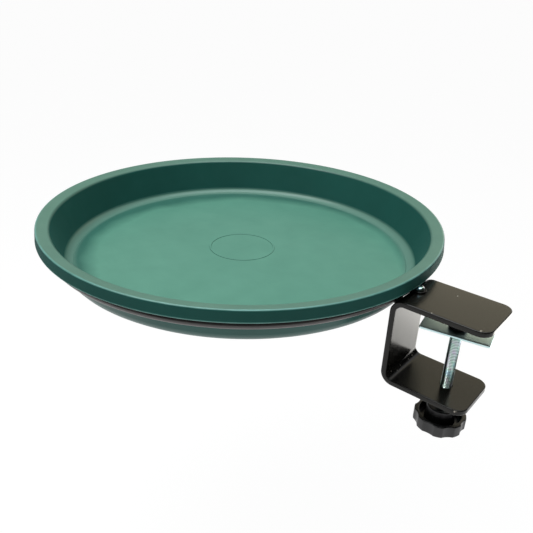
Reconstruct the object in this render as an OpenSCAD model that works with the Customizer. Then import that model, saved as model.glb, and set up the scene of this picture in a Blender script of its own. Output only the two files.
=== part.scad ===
// Deck mount bird bath: a round plastic basin that drops into a steel ring,
// and a C-shaped clamp that carries the ring out from a deck rail.
// Millimetres. The origin is on the upper jaw's clamping face, on the screw's axis.
// +Z is up and +X points from the basin out along the jaws.

/* [Basin] */
// Diameter across the top of the rolled lip
rim_d = 330; // [240:1:420]
// Height from the top of the lip to the underside
basin_h = 35.5; // [28:0.5:60]
// Thickness of the moulded wall
wall_t = 2.4; // [1.8:0.1:3.6]
// Thickness of the floor
floor_t = 2.2; // [1.6:0.1:4]
// Slope of the wall away from upright, in degrees
wall_draft = 17; // [8:0.5:24]
// Width of the lip
lip_w = 10.3; // [9:0.1:16]
// How far the lip falls towards the water
lip_fall = 1.9; // [0.5:0.1:3]
// Depth of the skirt that hangs from the lip
skirt_h = 9.2; // [7:0.1:11]
// Thickness of the skirt
skirt_t = 2.2; // [1.6:0.1:3]
// How far the skirt flares out on its way down
skirt_flare = 0.9; // [0:0.1:2]
// Radius where the wall meets the floor, inside
floor_fillet = 7; // [4:0.5:10]
// Radius where the wall meets the underside, outside
foot_fillet = 11; // [8:0.5:14]
// Rounding of the lip's edges
lip_round = 1.3; // [0.5:0.1:2]
// Height of the raised floor and of the plain ring moulded in its middle
floor_relief = 0.4; // [0.2:0.1:1]
// Width of the flat groove between that radius and the raised floor
floor_margin = 0.3; // [0.1:0.1:8]
// Outer diameter of the plain moulded ring
mark_d = 56; // [30:1:90]
// Width of the plain moulded ring
mark_w = 1.4; // [0.8:0.1:3]

/* [Support ring] */
// Diameter of the round steel rod
rod_d = 6.35; // [5:0.05:8]
// Depth of the rod's middle below the top of the lip
ring_drop = 14.8; // [13.5:0.1:18]
// Gap between the rod and the basin that rests in it
seat_gap = 0.3; // [0.1:0.05:0.6]
// Width of the tongue that bolts to the jaw
tongue_w = 10.5; // [9:0.5:24]
// Thickness of the tongue
tongue_t = 1.2; // [1:0.1:3]
// How far the rod's top stands above the tongue
rod_proud = 1.44; // [0.4:0.02:1.6]
// Radius of the weld bead between tongue and rod
ring_bead_r = 1.2; // [0.8:0.1:2.4]
// Length of that weld bead
ring_bead_l = 8.5; // [6:0.5:20]
// Radius of the two weld pads that the rod rests on beside the tongue
pad_r = 2.4; // [1.6:0.1:3.2]
// Length of each pad
pad_l = 9.5; // [5:0.5:12]
// Distance of each pad's middle from the clamp's middle
pad_y = 16.8; // [14:0.1:20]

/* [Ring bolt] */
// Thread diameter of the ring bolt
bolt_d = 4; // [3:0.5:6]
// Diameter of its button head
bolt_head_d = 7.6; // [6:0.1:11]
// Width of its hexagon socket across flats
bolt_af = 2.5; // [2:0.5:4]
// Room between the bolt's head and the weld bead behind it
bolt_room = 0.3; // [0.2:0.1:3]
// Room between the bolt's head and the basin's skirt above it
bolt_clear = 1.4; // [0.4:0.1:1.6]
// How far the bolt's end stays above the clamping face
bolt_end_gap = 0.4; // [0.2:0.1:1]

/* [Clamp frame] */
// Width of the bent steel strap
strap_w = 47; // [36:0.5:60]
// Thickness of the strap
strap_t = 4; // [3:0.1:5]
// Clear height between the two jaws
throat_h = 60; // [50:0.5:80]
// Outer radius of the two bends
bend_r = 9.5; // [8:0.1:12]
// Length of the upper jaw from the outer face
upper_jaw_l = 68; // [62:0.5:90]
// Length of the lower jaw from the outer face
lower_jaw_l = 63; // [56:0.5:80]
// Radius of the jaws' corners
jaw_corner_r = 8.5; // [4:0.5:12]

/* [Clamp screw] */
// Distance from the clamp's outer face to the screw's axis
screw_reach = 40.4; // [36:0.1:48]
// Thread diameter of the clamp screw
screw_d = 8; // [7:0.5:10]
// Diameter of the turned-down end that carries the plate
journal_d = 6; // [4.5:0.1:6.5]
// Width of the hexagon head across flats
head_af = 13; // [11:0.5:15]
// Height of the hexagon head
head_h = 5.3; // [4:0.1:7]
// Gap between the upper jaw and the pressure plate, as stored
jaw_gap = 12.2; // [8:0.1:30]
// Gap between the jaw nut and the knob's hub, as stored
hub_gap = 7.2; // [2:0.1:20]
// Room round the thread in the jaw nut
thread_play = 0.08; // [0.02:0.01:0.2]
// Room round the journal in the plate and the washer
journal_play = 0.08; // [0.02:0.01:0.1]
// Room along the axis between the pieces stacked on the journal
stack_play = 0.1; // [0.05:0.05:0.3]
// Room round the screw in the lower jaw's hole
jaw_hole_play = 0.4; // [0.2:0.1:1]

/* [Jaw nut] */
// Width of the jaw nut across flats
nut_af = 13; // [11:0.5:17]
// Height of the jaw nut
nut_h = 6.5; // [5:0.1:8]
// Radius of the weld beads that hold it
nut_bead_r = 1.5; // [1:0.1:2]
// Length of each of those beads
nut_bead_l = 6; // [4:0.5:7]

/* [Pressure plate] */
// Length of the pressure plate
plate_l = 47; // [36:0.5:52]
// Width of the pressure plate
plate_w = 26; // [20:0.5:34]
// Thickness of the pressure plate
plate_t = 1.6; // [1.5:0.1:4]
// Radius of the plate's corners
plate_corner_r = 1.5; // [0.5:0.1:4]
// How far the plate is turned on the screw, in degrees
plate_turn = 10.5; // [-90:0.5:90]
// Outer diameter of the thrust washer under the plate
washer_d = 12.5; // [10:0.5:16]
// Thickness of the thrust washer
washer_t = 1.2; // [0.8:0.1:2]
// Diameter of the domed cap that keeps the plate on
cap_d = 12.6; // [10:0.1:16]
// Height of that cap
cap_h = 4; // [3:0.1:6]
// Rounding of the cap's dome
cap_round = 2.4; // [1:0.1:2.6]
// Thickness of the cap's roof
cap_roof = 1; // [0.6:0.1:1.5]

/* [Knob] */
// Diameter over the knob's lobes
knob_d = 38; // [30:0.2:50]
// Height of the fluted rim
rim_h = 9.7; // [7:0.1:14]
// Number of lobes
lobes = 8; // [6:1:12]
// Depth of the hollows between the lobes
lobe_cut = 1.3; // [0.5:0.1:2]
// Radius of those hollows
lobe_cut_r = 11; // [6:0.5:16]
// Thickness of the rim's wall at the hollows
rim_t = 2.2; // [1.6:0.1:3]
// Thickness of the knob's face
face_t = 3.4; // [2.4:0.1:5]
// Diameter of the knob's hub
hub_d = 21; // [17.5:0.5:24]
// How far the hub stands above the rim
hub_rise = 6.5; // [3:0.1:12]
// How far the screw's head sits inside the knob's face
head_recess = 0.8; // [0.2:0.1:2]
// Rounding of the knob's outer edge
knob_round = 1.4; // [0.5:0.1:3]

/* [Hidden] */
$fn = 96;

plastic_green = [0.07, 0.24, 0.20];
coated_black = [0.08, 0.08, 0.08];
zinc = [0.70, 0.74, 0.76];
knob_black = [0.11, 0.11, 0.12];

// Small roundings that a mould leaves on the skirt, the knob and the cap
skirt_edge_in = 0.3;
skirt_edge_out = 0.7;
knob_edge = 0.7;
cap_edge = 0.3;
// Height of the upright edge below a button head's dome
button_edge = 0.5;

// Chords in a quarter turn of an outline's round corner
corner_steps = 6;
// Added past a face so that a cut runs clean through it
past = 1;

rim_r = rim_d / 2;
rod_r = rod_d / 2;
screw_r = screw_d / 2;
journal_r = journal_d / 2;
bolt_r = bolt_d / 2;

// Clamp frame, from its outer face along +X and from its clamping face along Z
outer_x = -screw_reach;
bend_x = outer_x + bend_r;
upper_top = strap_t;
lower_top = -throat_h;
lower_bottom = lower_top - strap_t;
upper_end = outer_x + upper_jaw_l;
lower_end = outer_x + lower_jaw_l;

// The rod lies on the upper bend's shoulder, level enough with the tongue to be welded to it
tongue_top = upper_top + tongue_t;
ring_z = tongue_top + rod_proud - rod_r;
shoulder_reach = bend_r + rod_r;
shoulder_rise = ring_z - upper_top + bend_r;
rod_x = bend_x - sqrt(pow(shoulder_reach, 2) - pow(shoulder_rise, 2));

// The basin's wall rests on the rod all round, so the ring takes its radius from the wall
lip_in_r = rim_r - lip_w;
ring_r = lip_in_r + (lip_fall - ring_drop) * tan(wall_draft)
    + (wall_t + rod_r + seat_gap) / cos(wall_draft);
ring_x = rod_x - ring_r;
rim_z = ring_z + ring_drop;

// Away from the clamp's middle the ring curves off the straight shoulder, and a pad fills the gap
bend_z = upper_top - bend_r;
pad_rod_x = ring_x + sqrt(pow(ring_r, 2) - pow(pad_y, 2));
pad_reach = norm([pad_rod_x - bend_x, ring_z - bend_z]);
pad_share = (bend_r + pad_reach - rod_r) / 2 / pad_reach;
pad_x = bend_x + (pad_rod_x - bend_x) * pad_share;
pad_z = bend_z + (ring_z - bend_z) * pad_share;

// The ring bolt stands just past the weld, and its low head fits under the basin's skirt
weld_reach = sqrt(pow(rod_r, 2) - pow(tongue_top - ring_z, 2));
bolt_x = rod_x + weld_reach + ring_bead_r + bolt_room + bolt_head_d / 2;
bolt_head_h = rim_z - skirt_h - tongue_top - bolt_clear;

// Pieces stacked on the screw's journal, from its shoulder up
plate_top = -jaw_gap;
plate_bottom = plate_top - plate_t;
washer_top = plate_bottom - stack_play;
washer_bottom = washer_top - washer_t;
shoulder_z = washer_bottom - stack_play;
cap_bottom = plate_top + stack_play;
journal_top = cap_bottom + cap_h - cap_roof - stack_play;

// Knob and the screw's head inside it, from the jaw nut down
nut_bottom = lower_bottom - nut_h;
hub_top = nut_bottom - hub_gap;
rim_top = hub_top - hub_rise;
face_z = rim_top - rim_h;
head_bottom = face_z + head_recess;
head_top = head_bottom + head_h;
thread_l = shoulder_z - head_top;
rim_in_r = knob_d / 2 - lobe_cut - rim_t;

function unit(v) = v / norm(v);

// Points that round the corner b of the path a, b, c with a circle of radius r
function rounded(a, b, c, r) =
    let (
        back = unit(a - b),
        ahead = unit(c - b),
        half = acos(back * ahead) / 2,
        centre = b + unit(back + ahead) * r / sin(half),
        first = b + back * r / tan(half) - centre,
        last = b + ahead * r / tan(half) - centre,
        start = atan2(first.y, first.x),
        raw = atan2(last.y, last.x) - start,
        sweep = raw > 180 ? raw - 360 : raw < -180 ? raw + 360 : raw,
        steps = max(2, ceil(corner_steps * abs(sweep) / 90))
    )
    [for (i = [0:steps]) centre + r * [cos(start + sweep * i / steps), sin(start + sweep * i / steps)]];

// A closed outline from [x, y, corner radius] points
function outline(p) = [
    for (i = [0:len(p) - 1])
        let (
            a = p[(i + len(p) - 1) % len(p)],
            b = p[i],
            c = p[(i + 1) % len(p)]
        )
        each b.z > 0
            ? rounded([a.x, a.y], [b.x, b.y], [c.x, c.y], b.z)
            : [[b.x, b.y]]
];

module hexagon(af, h) {
    rotate([0, 0, 30])
        cylinder(d = af / cos(30), h = h, $fn = 6);
}

// Radius of the basin's inner wall at a height below the lip
function wall_r(z) = lip_in_r + (z + lip_fall) * tan(wall_draft);

// Section of the basin, with z = 0 at the top of the lip
function basin_section() =
    let (
        out = wall_t / cos(wall_draft),
        lip_tilt = atan(lip_fall / lip_w),
        under = wall_t / cos(lip_tilt),
        floor_z = floor_t - basin_h,
        raised_z = floor_z + floor_relief,
        foot_r = wall_r(floor_z) - floor_fillet * tan((90 - wall_draft) / 2),
        margin_r = foot_r - floor_margin,
        skirt_in = rim_r - skirt_t,
        throat_r = (wall_r(-under) + out - rim_r * tan(lip_tilt) * tan(wall_draft))
            / (1 - tan(lip_tilt) * tan(wall_draft)),
        mark_r = mark_d / 2
    )
    [
        [0, -basin_h, 0],
        [wall_r(-basin_h) + out, -basin_h, foot_fillet],
        [throat_r, (throat_r - rim_r) * tan(lip_tilt) - under, lip_round],
        [skirt_in, -skirt_t * tan(lip_tilt) - under, lip_round],
        [skirt_in + skirt_flare, -skirt_h, skirt_edge_in],
        [rim_r + skirt_flare, -skirt_h, skirt_edge_out],
        [rim_r, 0, lip_round],
        [lip_in_r, -lip_fall, lip_round],
        [wall_r(floor_z), floor_z, floor_fillet],
        [margin_r, floor_z, 0],
        [margin_r - floor_relief, raised_z, 0],
        [mark_r, raised_z, 0],
        [mark_r, raised_z + floor_relief, 0],
        [mark_r - mark_w, raised_z + floor_relief, 0],
        [mark_r - mark_w, raised_z, 0],
        [0, raised_z, 0]
    ];

// Moulded basin with a lip, a hanging skirt and a raised floor
module basin() {
    color(plastic_green)
        translate([ring_x, 0, rim_z])
        rotate_extrude()
        polygon(outline(basin_section()));
}

module ring_rod() {
    translate([ring_x, 0, ring_z])
        rotate_extrude()
        translate([ring_r, 0])
        circle(r = rod_r);
}

// Round rod bent into a ring, which the basin's wall rests on
module support_ring() {
    color(coated_black)
        ring_rod();
}

// Flat tongue with a round end, coped to the rod and bolted to the upper jaw
module tongue_plate() {
    difference() {
        translate([0, 0, upper_top])
            linear_extrude(tongue_t)
            union() {
                translate([rod_x, -tongue_w / 2])
                    square([bolt_x - rod_x, tongue_w]);
                translate([bolt_x, 0])
                    circle(d = tongue_w);
            }
        ring_rod();
        translate([bolt_x, 0, upper_top - past])
            cylinder(r = bolt_r + thread_play, h = tongue_t + 2 * past);
    }
}

module ring_tongue() {
    color(coated_black)
        tongue_plate();
}

// Weld bead in the corner between the tongue's top and the rod
module ring_weld() {
    corner_r = ring_r + weld_reach;
    bead_turn = 2 * asin(ring_bead_l / 2 / corner_r);
    color(coated_black)
        translate([ring_x, 0, 0])
        rotate([0, 0, -bead_turn / 2])
        rotate_extrude(angle = bead_turn)
        difference() {
            translate([corner_r, tongue_top])
                circle(r = ring_bead_r);
            translate([ring_r, ring_z])
                circle(r = rod_r);
            translate([ring_r, tongue_top - 2 * ring_bead_r])
                square([2 * rod_d, 2 * ring_bead_r]);
        }
}

// Button-head bolt through the tongue into the jaw's tapped hole
module ring_bolt() {
    button = [
        [0, 0, 0],
        [bolt_head_d / 2, 0, 0],
        [bolt_head_d / 2, bolt_head_h, bolt_head_h - button_edge],
        [0, bolt_head_h, 0]
    ];
    color(zinc)
        translate([bolt_x, 0, 0])
        difference() {
            union() {
                translate([0, 0, tongue_top])
                    rotate_extrude()
                    polygon(outline(button));
                translate([0, 0, bolt_end_gap])
                    cylinder(r = bolt_r, h = tongue_top + button_edge - bolt_end_gap);
            }
            translate([0, 0, tongue_top + bolt_head_h / 2])
                hexagon(bolt_af, bolt_head_h);
        }
}

// Two weld pads on the strap's shoulder, each hollowed along the ring's tangent for the rod
module ring_pads() {
    color(coated_black)
        for (side = [-1, 1])
            difference() {
                translate([pad_x, side * pad_y + pad_l / 2, pad_z])
                    rotate([90, 0, 0])
                    cylinder(r = pad_r, h = pad_l);
                translate([pad_rod_x, side * pad_y, ring_z])
                    rotate([90, 0, side * asin(pad_y / ring_r)])
                    cylinder(r = rod_r, h = pad_l + 2 * past, center = true);
                translate([bend_x, side * pad_y, bend_z])
                    rotate([90, 0, 0])
                    cylinder(r = bend_r, h = pad_l + 2 * past, center = true);
            }
}

// One bend of the strap, seen from the side, in the quarter that quarter points to
module bend_section(quarter) {
    intersection() {
        difference() {
            circle(r = bend_r);
            circle(r = bend_r - strap_t);
        }
        translate([-bend_r, quarter > 0 ? 0 : -bend_r])
            square(bend_r);
    }
}

// The strap seen from the side: two jaws, two bends and the back between them
module strap_section() {
    web_low = lower_bottom + bend_r;
    web_high = upper_top - bend_r;
    translate([bend_x, 0])
        square([upper_end - bend_x, strap_t]);
    translate([bend_x, lower_bottom])
        square([lower_end - bend_x, strap_t]);
    translate([outer_x, web_low])
        square([strap_t, web_high - web_low]);
    translate([bend_x, web_high])
        bend_section(1);
    translate([bend_x, web_low])
        bend_section(-1);
}

// What is cut off to round one corner of a jaw's end
module corner_cut(end_x, z, side) {
    translate([end_x - jaw_corner_r, side * (strap_w / 2 - jaw_corner_r), z - past])
        difference() {
            translate([0, side > 0 ? 0 : -jaw_corner_r - past, 0])
                cube([jaw_corner_r + past, jaw_corner_r + past, strap_t + 2 * past]);
            cylinder(r = jaw_corner_r, h = strap_t + 2 * past);
        }
}

// Steel strap bent into a C, with round corners, a tapped hole and the screw's hole
module clamp_frame() {
    color(coated_black)
        difference() {
            rotate([90, 0, 0])
                linear_extrude(strap_w, center = true)
                strap_section();
            for (side = [-1, 1]) {
                corner_cut(upper_end, 0, side);
                corner_cut(lower_end, lower_bottom, side);
            }
            translate([bolt_x, 0, -past])
                cylinder(r = bolt_r + thread_play, h = strap_t + 2 * past);
            translate([0, 0, lower_bottom - past])
                cylinder(r = screw_r + jaw_hole_play, h = strap_t + 2 * past);
        }
}

// Hexagon nut under the lower jaw, which takes the screw's thread
module jaw_nut() {
    color(coated_black)
        translate([0, 0, nut_bottom])
        difference() {
            hexagon(nut_af, nut_h);
            translate([0, 0, -past])
                cylinder(r = screw_r + thread_play, h = nut_h + 2 * past);
        }
}

// Three weld beads between every other flat of the nut and the jaw
module nut_welds() {
    color(coated_black)
        for (turn = [0:120:240])
            rotate([0, 0, turn])
            translate([nut_af / 2, nut_bead_l / 2, lower_bottom])
            rotate([90, 0, 0])
            linear_extrude(nut_bead_l)
            intersection() {
                circle(r = nut_bead_r);
                translate([0, -nut_bead_r])
                    square(nut_bead_r);
            }
}

// Hexagon-head screw with a turned-down journal at its upper end
module clamp_screw() {
    color(zinc)
        union() {
            translate([0, 0, head_bottom])
                hexagon(head_af, head_h);
            translate([0, 0, head_top - past])
                cylinder(r = screw_r, h = thread_l + past);
            translate([0, 0, shoulder_z - past])
                cylinder(r = journal_r, h = journal_top - shoulder_z + past);
        }
}

// Section of the knob: a hub in a cup whose open side faces the jaw
function knob_section() =
    let (
        hub_r = hub_d / 2,
        cup_z = face_z + face_t
    )
    [
        [0, face_z, 0],
        [knob_d / 2, face_z, knob_round],
        [knob_d / 2, rim_top, knob_edge],
        [rim_in_r, rim_top, knob_edge],
        [rim_in_r, cup_z, knob_edge],
        [hub_r, cup_z, knob_edge],
        [hub_r, hub_top, knob_edge],
        [0, hub_top, 0]
    ];

// Fluted knob, pressed onto the screw's head
module knob() {
    color(knob_black)
        difference() {
            rotate_extrude()
                polygon(outline(knob_section()));
            for (i = [0:lobes - 1])
                rotate([0, 0, i * 360 / lobes])
                translate([knob_d / 2 + lobe_cut_r - lobe_cut, 0, face_z - past])
                cylinder(r = lobe_cut_r, h = rim_h + 2 * past);
            translate([0, 0, face_z - past])
                hexagon(head_af, head_recess + head_h + past);
            translate([0, 0, head_top - past])
                cylinder(r = screw_r, h = hub_top - head_top + 2 * past);
        }
}

// Washer on the journal, which stays still between the screw and the plate
module thrust_washer() {
    color(zinc)
        translate([0, 0, washer_bottom])
        difference() {
            cylinder(d = washer_d, h = washer_t);
            translate([0, 0, -past])
                cylinder(r = journal_r + journal_play, h = washer_t + 2 * past);
        }
}

// Plate that presses up against the rail and swivels on the journal
module pressure_plate() {
    half_l = plate_l / 2 - plate_corner_r;
    half_w = plate_w / 2 - plate_corner_r;
    color(zinc)
        translate([0, 0, plate_bottom])
        rotate([0, 0, plate_turn])
        linear_extrude(plate_t)
        difference() {
            union() {
                square([plate_l, 2 * half_w], center = true);
                square([2 * half_l, plate_w], center = true);
                for (x = [-half_l, half_l], y = [-half_w, half_w])
                    translate([x, y])
                        circle(r = plate_corner_r);
            }
            circle(r = journal_r + journal_play);
        }
}

// Domed cap pushed onto the journal's end
module retaining_cap() {
    dome = [
        [0, 0, 0],
        [cap_d / 2, 0, cap_edge],
        [cap_d / 2, cap_h, cap_round],
        [0, cap_h, 0]
    ];
    color(knob_black)
        translate([0, 0, cap_bottom])
        difference() {
            rotate_extrude()
                polygon(outline(dome));
            translate([0, 0, -past])
                cylinder(r = journal_r, h = past + cap_h - cap_roof);
        }
}

basin();
support_ring();
ring_tongue();
ring_weld();
ring_bolt();
ring_pads();
clamp_frame();
jaw_nut();
nut_welds();
clamp_screw();
knob();
thrust_washer();
pressure_plate();
retaining_cap();
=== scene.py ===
import math

import bmesh
import bpy
import numpy as np
from mathutils import Matrix, Vector


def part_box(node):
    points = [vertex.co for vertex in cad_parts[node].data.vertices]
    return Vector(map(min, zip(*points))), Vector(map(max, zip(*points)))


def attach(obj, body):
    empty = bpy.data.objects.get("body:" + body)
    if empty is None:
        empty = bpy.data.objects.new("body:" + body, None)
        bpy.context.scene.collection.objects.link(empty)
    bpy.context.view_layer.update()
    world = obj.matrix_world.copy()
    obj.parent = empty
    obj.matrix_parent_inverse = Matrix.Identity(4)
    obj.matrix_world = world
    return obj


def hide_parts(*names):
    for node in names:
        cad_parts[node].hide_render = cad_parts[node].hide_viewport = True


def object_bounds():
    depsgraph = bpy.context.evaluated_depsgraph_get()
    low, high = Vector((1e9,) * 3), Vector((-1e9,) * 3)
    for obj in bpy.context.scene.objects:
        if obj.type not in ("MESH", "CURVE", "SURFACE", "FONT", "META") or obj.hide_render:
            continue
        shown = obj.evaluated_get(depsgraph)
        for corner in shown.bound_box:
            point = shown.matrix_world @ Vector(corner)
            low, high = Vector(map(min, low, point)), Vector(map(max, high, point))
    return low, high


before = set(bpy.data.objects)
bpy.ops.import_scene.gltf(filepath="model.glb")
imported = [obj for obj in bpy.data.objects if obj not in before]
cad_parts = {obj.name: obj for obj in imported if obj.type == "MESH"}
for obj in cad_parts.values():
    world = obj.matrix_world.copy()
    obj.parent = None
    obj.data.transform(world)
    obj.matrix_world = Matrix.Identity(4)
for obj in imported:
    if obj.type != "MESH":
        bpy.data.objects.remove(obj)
cad_low, cad_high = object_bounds()

# Shapes are worked out in millimetres and become metres when a piece is made
MM = 0.001
TURN = 2 * math.pi
QUARTER = math.pi / 2
UP = np.array([0, 0, 1.0])
TINY = 1e-9
MERGE_M = 1e-6


def node_box(node):
    """Lowest and highest corner of a CAD node, in millimetres."""
    low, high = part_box(node)
    return np.array(low) / MM, np.array(high) / MM


# Sizes of the basin, as in the part's source
BASIN_H = 35.5
RIM_R = 165
WALL_T = 2.4
FLOOR_T = 2.2
WALL_DRAFT = math.radians(17)
WALL_SLOPE = math.tan(WALL_DRAFT)
LIP_W = 10.3
LIP_FALL = 1.9
LIP_ROUND = 1.3
SKIRT_H = 9.2
SKIRT_T = 2.2
SKIRT_FLARE = 0.9
SKIRT_EDGE_IN = 0.3
SKIRT_EDGE_OUT = 0.7
FLOOR_FILLET = 7
FOOT_FILLET = 11
FLOOR_RELIEF = 0.4
FLOOR_MARGIN = 0.3
MARK_R = 28
MARK_W = 1.4
# Softer edges of the visible basin, and how far the sides of the ring on its floor lean
LIP_INNER_ROUND = 3
MARGIN_ROUND = 0.1
RELIEF_ROUND = 0.15
MARK_ROUND = 0.18
MARK_LEAN = 0.15

# Tones of the basin's plastic, each with the two ends of its cloudy change
DEEP_GREEN = [(0.005, 0.076, 0.062), (0.007, 0.088, 0.072)]
# The water film's pale tone also holds a painted sheen
WATER_FILM_AND_SHEEN = [(0.126, 0.344, 0.254), (0.138, 0.366, 0.272)]
# The weathered lip's tone also holds a painted sheen
WEATHERED_AND_SHEEN = [(0.122, 0.256, 0.194), (0.134, 0.276, 0.210)]
# A painted highlight on the fillet
FILLET_HIGHLIGHT_TONE = (0.125, 0.265, 0.21)
# The underside's greyer tone: a painted reflection of the pale floor
UNDERSIDE_REFLECTION_TONE = (0.14, 0.19, 0.18)
# Painted highlights on the lip's outer edge and the skirt's lower edge
EDGE_HIGHLIGHT_TONE = (0.18, 0.44, 0.39)
# The film that water leaves: its middle, off the basin's axis, its ragged edge and its rest beyond
FILM_SHIFT = (10.4, -3.2)
FILM_R = 133
FILM_FADE = 7
FILM_RAGGED = 3
FILM_BEYOND = 0.3
# The radius from which the fillet carries a painted highlight
FILLET_HIGHLIGHT_R = 138.5
FILLET_HIGHLIGHT_FADE = 2
# Heights between which the inside gives way to the lip
FILM_LOW = -12.5
FILM_TOP = -7.5
# Where the edges' painted highlights fade: above the skirt's foot, below the rim and in from the rim
EDGE_HIGHLIGHT_FOOT = (0.4, 1.3)
EDGE_HIGHLIGHT_RIM = (1.1, 0.4)
EDGE_HIGHLIGHT_IN = (1.5, 0.5)
# How much rougher steep faces are
STEEP_DULL = 0.45

# Sizes of the clamp and its screw
STRAP_T = 4
BEND_R = 9.5
JAW_CORNER_R = 8.5
JAW_STEP = 5
COAT_EDGE = 0.6
HOLE_EDGE = 0.3
HOLE_PLAY = 0.08
BOLT_R = 2
BOLT_TIP = 0.6
BUTTON_EDGE = 0.5
BUTTON_ROUND = 0.2
BUTTON_FLAT = 0.1
SOCKET_AF = 2.5
SOCKET_EDGE = 0.15
PAD_R = 2.2
PAD_Y = (11.9, 21.7)
RING_BEAD_R = 1.1
RING_BEAD_HALF = 4.2
RING_RIPPLES = 7
NUT_BEAD_R = 1.3
NUT_BEAD_HALF = 3
NUT_RIPPLES = 5
RIPPLE_SHARE = 0.07
HEX_AF = 13
HEX_WEAR = 0.985
HEX_CHAMFER = math.tan(math.radians(30))
NUT_CROWN = 0.95
NUT_EDGE = 0.6
HEAD_H = 5.3
HEAD_CROWN = 0.94
SCREW_R = 4
JAW_HOLE_R = 4.4
JOURNAL_R = 3
JOURNAL_H = 6
JOURNAL_EDGE = 0.4
THREAD_PITCH = 1.25
THREAD_DEPTH = 0.72
# Shares of the pitch that the thread's crest and each flank take up, how its top end narrows, and
# how far it runs into the head and the journal into it
CREST_SHARE = 0.12
FLANK_SHARE = 0.31
THREAD_TAPER = 0.9
THREAD_LEDGE = 0.05
THREAD_SINK = 1
PLATE_L = 47
PLATE_W = 26
PLATE_CORNER_R = 1.5
PLATE_EDGE = 0.35
PLATE_TURN = math.radians(10.5)
WASHER_EDGE = 0.25
HUB_R = 10.5
HUB_RISE = 6.5
FACE_T = 3.4
LOBES = 8
LOBE_CUT = 1.3
LOBE_CUT_R = 11
RIM_T = 2.2
KNOB_ROUND = 1.4
KNOB_EDGE = 0.7
KNOB_HOLE_EDGE = 0.3
RECESS_BAND = 0.35
CAP_ROUND = 2.4
CAP_EDGE = 0.3
CAP_MOUTH = 0.2
CAP_ROOF = 1

# Steps of a turn, rows of a thread's turn and of a bead, and points over an edge and a face
BASIN_STEPS = 320
ROD_STEPS = 24
HEX_STEPS = 96
TONGUE_STEPS = 144
PLATE_STEPS = 288
KNOB_STEPS = 192
SMALL_STEPS = 72
SCREW_STEPS = 48
THREAD_SHARES = 12
BEAD_STEPS = 20
BEAD_ROWS = 49
EDGE_POINTS = 5
FACE_POINTS = 7
# The strap's grid: columns, cell length, corner rows, the rings inside and drawn round a hole, and
# how far into the bend a hole reaches
STRAP_COLUMNS = 40
STRAP_CELL = 1.1
CORNER_ROWS = 10
BOLT_RINGS = 3
SCREW_RINGS = 4
DRAWN_RINGS = 5
ARC_LIMIT = 0.95

# Tones of the coats and the plating. A finish's roughness stays on one side of 0.27, because the
# denoiser leaves specks where it crosses that
GLOSS_BLACK = [(0.009, 0.0085, 0.007), (0.012, 0.011, 0.009)]
# The ring rod's coat, paler and mauve partly as a painted reflection of the floor
SATIN_BLACK_AND_SHEEN = [(0.030, 0.025, 0.024), (0.040, 0.033, 0.031)]
KNOB_BLACK = [(0.014, 0.014, 0.015), (0.022, 0.022, 0.024)]
RAINBOW = [(0.42, 0.66, 0.80), (0.58, 0.78, 0.66), (0.72, 0.74, 0.78), (0.74, 0.60, 0.80)]
PALE_RAINBOW = [(0.62, 0.80, 0.88), (0.72, 0.90, 0.80), (0.84, 0.87, 0.90), (0.84, 0.76, 0.90)]
SEA_GREEN = [(0.59, 0.83, 0.84), (0.70, 0.90, 0.90), (0.77, 0.93, 0.93)]
# The darker roots of the screw's thread: painted shade, and grease
ROOT_SHADE_AND_GREASE = (0.16, 0.17, 0.175)
# How much of the thread's depth is free of its painted root shade and grease, and how fast they end
# below the shoulder
UNDARKENED_SHARE = 0.6
ROOT_DARK_FADE = 0.5

# Where the clamp's coat is chipped, and where pale spots along its inner lower bend are painted
# glints: x, y, z and radius
CHIP_AND_GLINT_TONE = (0.42, 0.39, 0.33)
SPOT_CORE = 0.7
CHIPS_AND_GLINTS = [
    (-11.5, -22.6, 3.9, 0.5),
    (-8.5, 11.8, 4, 0.5),
    (21.2, -21.9, 3.6, 0.7),
    (17, -23.4, -61, 0.7),
    # Along the inner lower bend: painted glints
    (-34.8, 14.5, -58.4, 0.7),
    (-34.2, 8.2, -58.9, 0.55),
    (-34.8, -3.5, -58.4, 0.6),
    (-33.9, -9.8, -59.1, 0.5),
    (-35.5, -16.5, -57.5, 0.6),
]

# Noise mostly stays between these values
NOISE_LOW = 0.3
NOISE_HIGH = 0.7

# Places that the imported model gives
basin_low, basin_high = node_box("basin")
basin_axis = (basin_low + basin_high)[:2] / 2
rim_z = basin_low[2] + BASIN_H
rod_low, rod_high = node_box("support_ring")
rod_r = (rod_high[2] - rod_low[2]) / 2
ring_r = (rod_high[0] - rod_low[0]) / 2 - rod_r
ring_z = (rod_high[2] + rod_low[2]) / 2
rod_x = rod_high[0] - rod_r
tongue_low, tongue_high = node_box("ring_tongue")
bolt_low, bolt_high = node_box("ring_bolt")
bolt_x = (bolt_low[0] + bolt_high[0]) / 2
pad_low, pad_high = node_box("ring_pads")
strap_low, strap_high = node_box("clamp_frame")
nut_low, nut_high = node_box("jaw_nut")
screw_low, screw_high = node_box("clamp_screw")
knob_low, knob_high = node_box("knob")
washer_low, washer_high = node_box("thrust_washer")
plate_low, plate_high = node_box("pressure_plate")
cap_low, cap_high = node_box("retaining_cap")
shoulder_z = screw_high[2] - JOURNAL_H
head_top = screw_low[2] + HEAD_H

# The strap's middle line: the ends of its jaws, its bends, and the lengths of its parts
upper_end = strap_high[0]
lower_end = upper_end - JAW_STEP
mid_r = BEND_R - STRAP_T / 2
bend_x = strap_low[0] + BEND_R
arc_l = mid_r * QUARTER
upper_l = upper_end - bend_x
web_l = strap_high[2] - strap_low[2] - 2 * BEND_R
lower_start = upper_l + 2 * arc_l + web_l


def unit(vector):
    return vector / np.linalg.norm(vector)


def turn_angles(steps):
    """The angle of each step of a full turn."""
    return np.arange(steps) * TURN / steps


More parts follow.
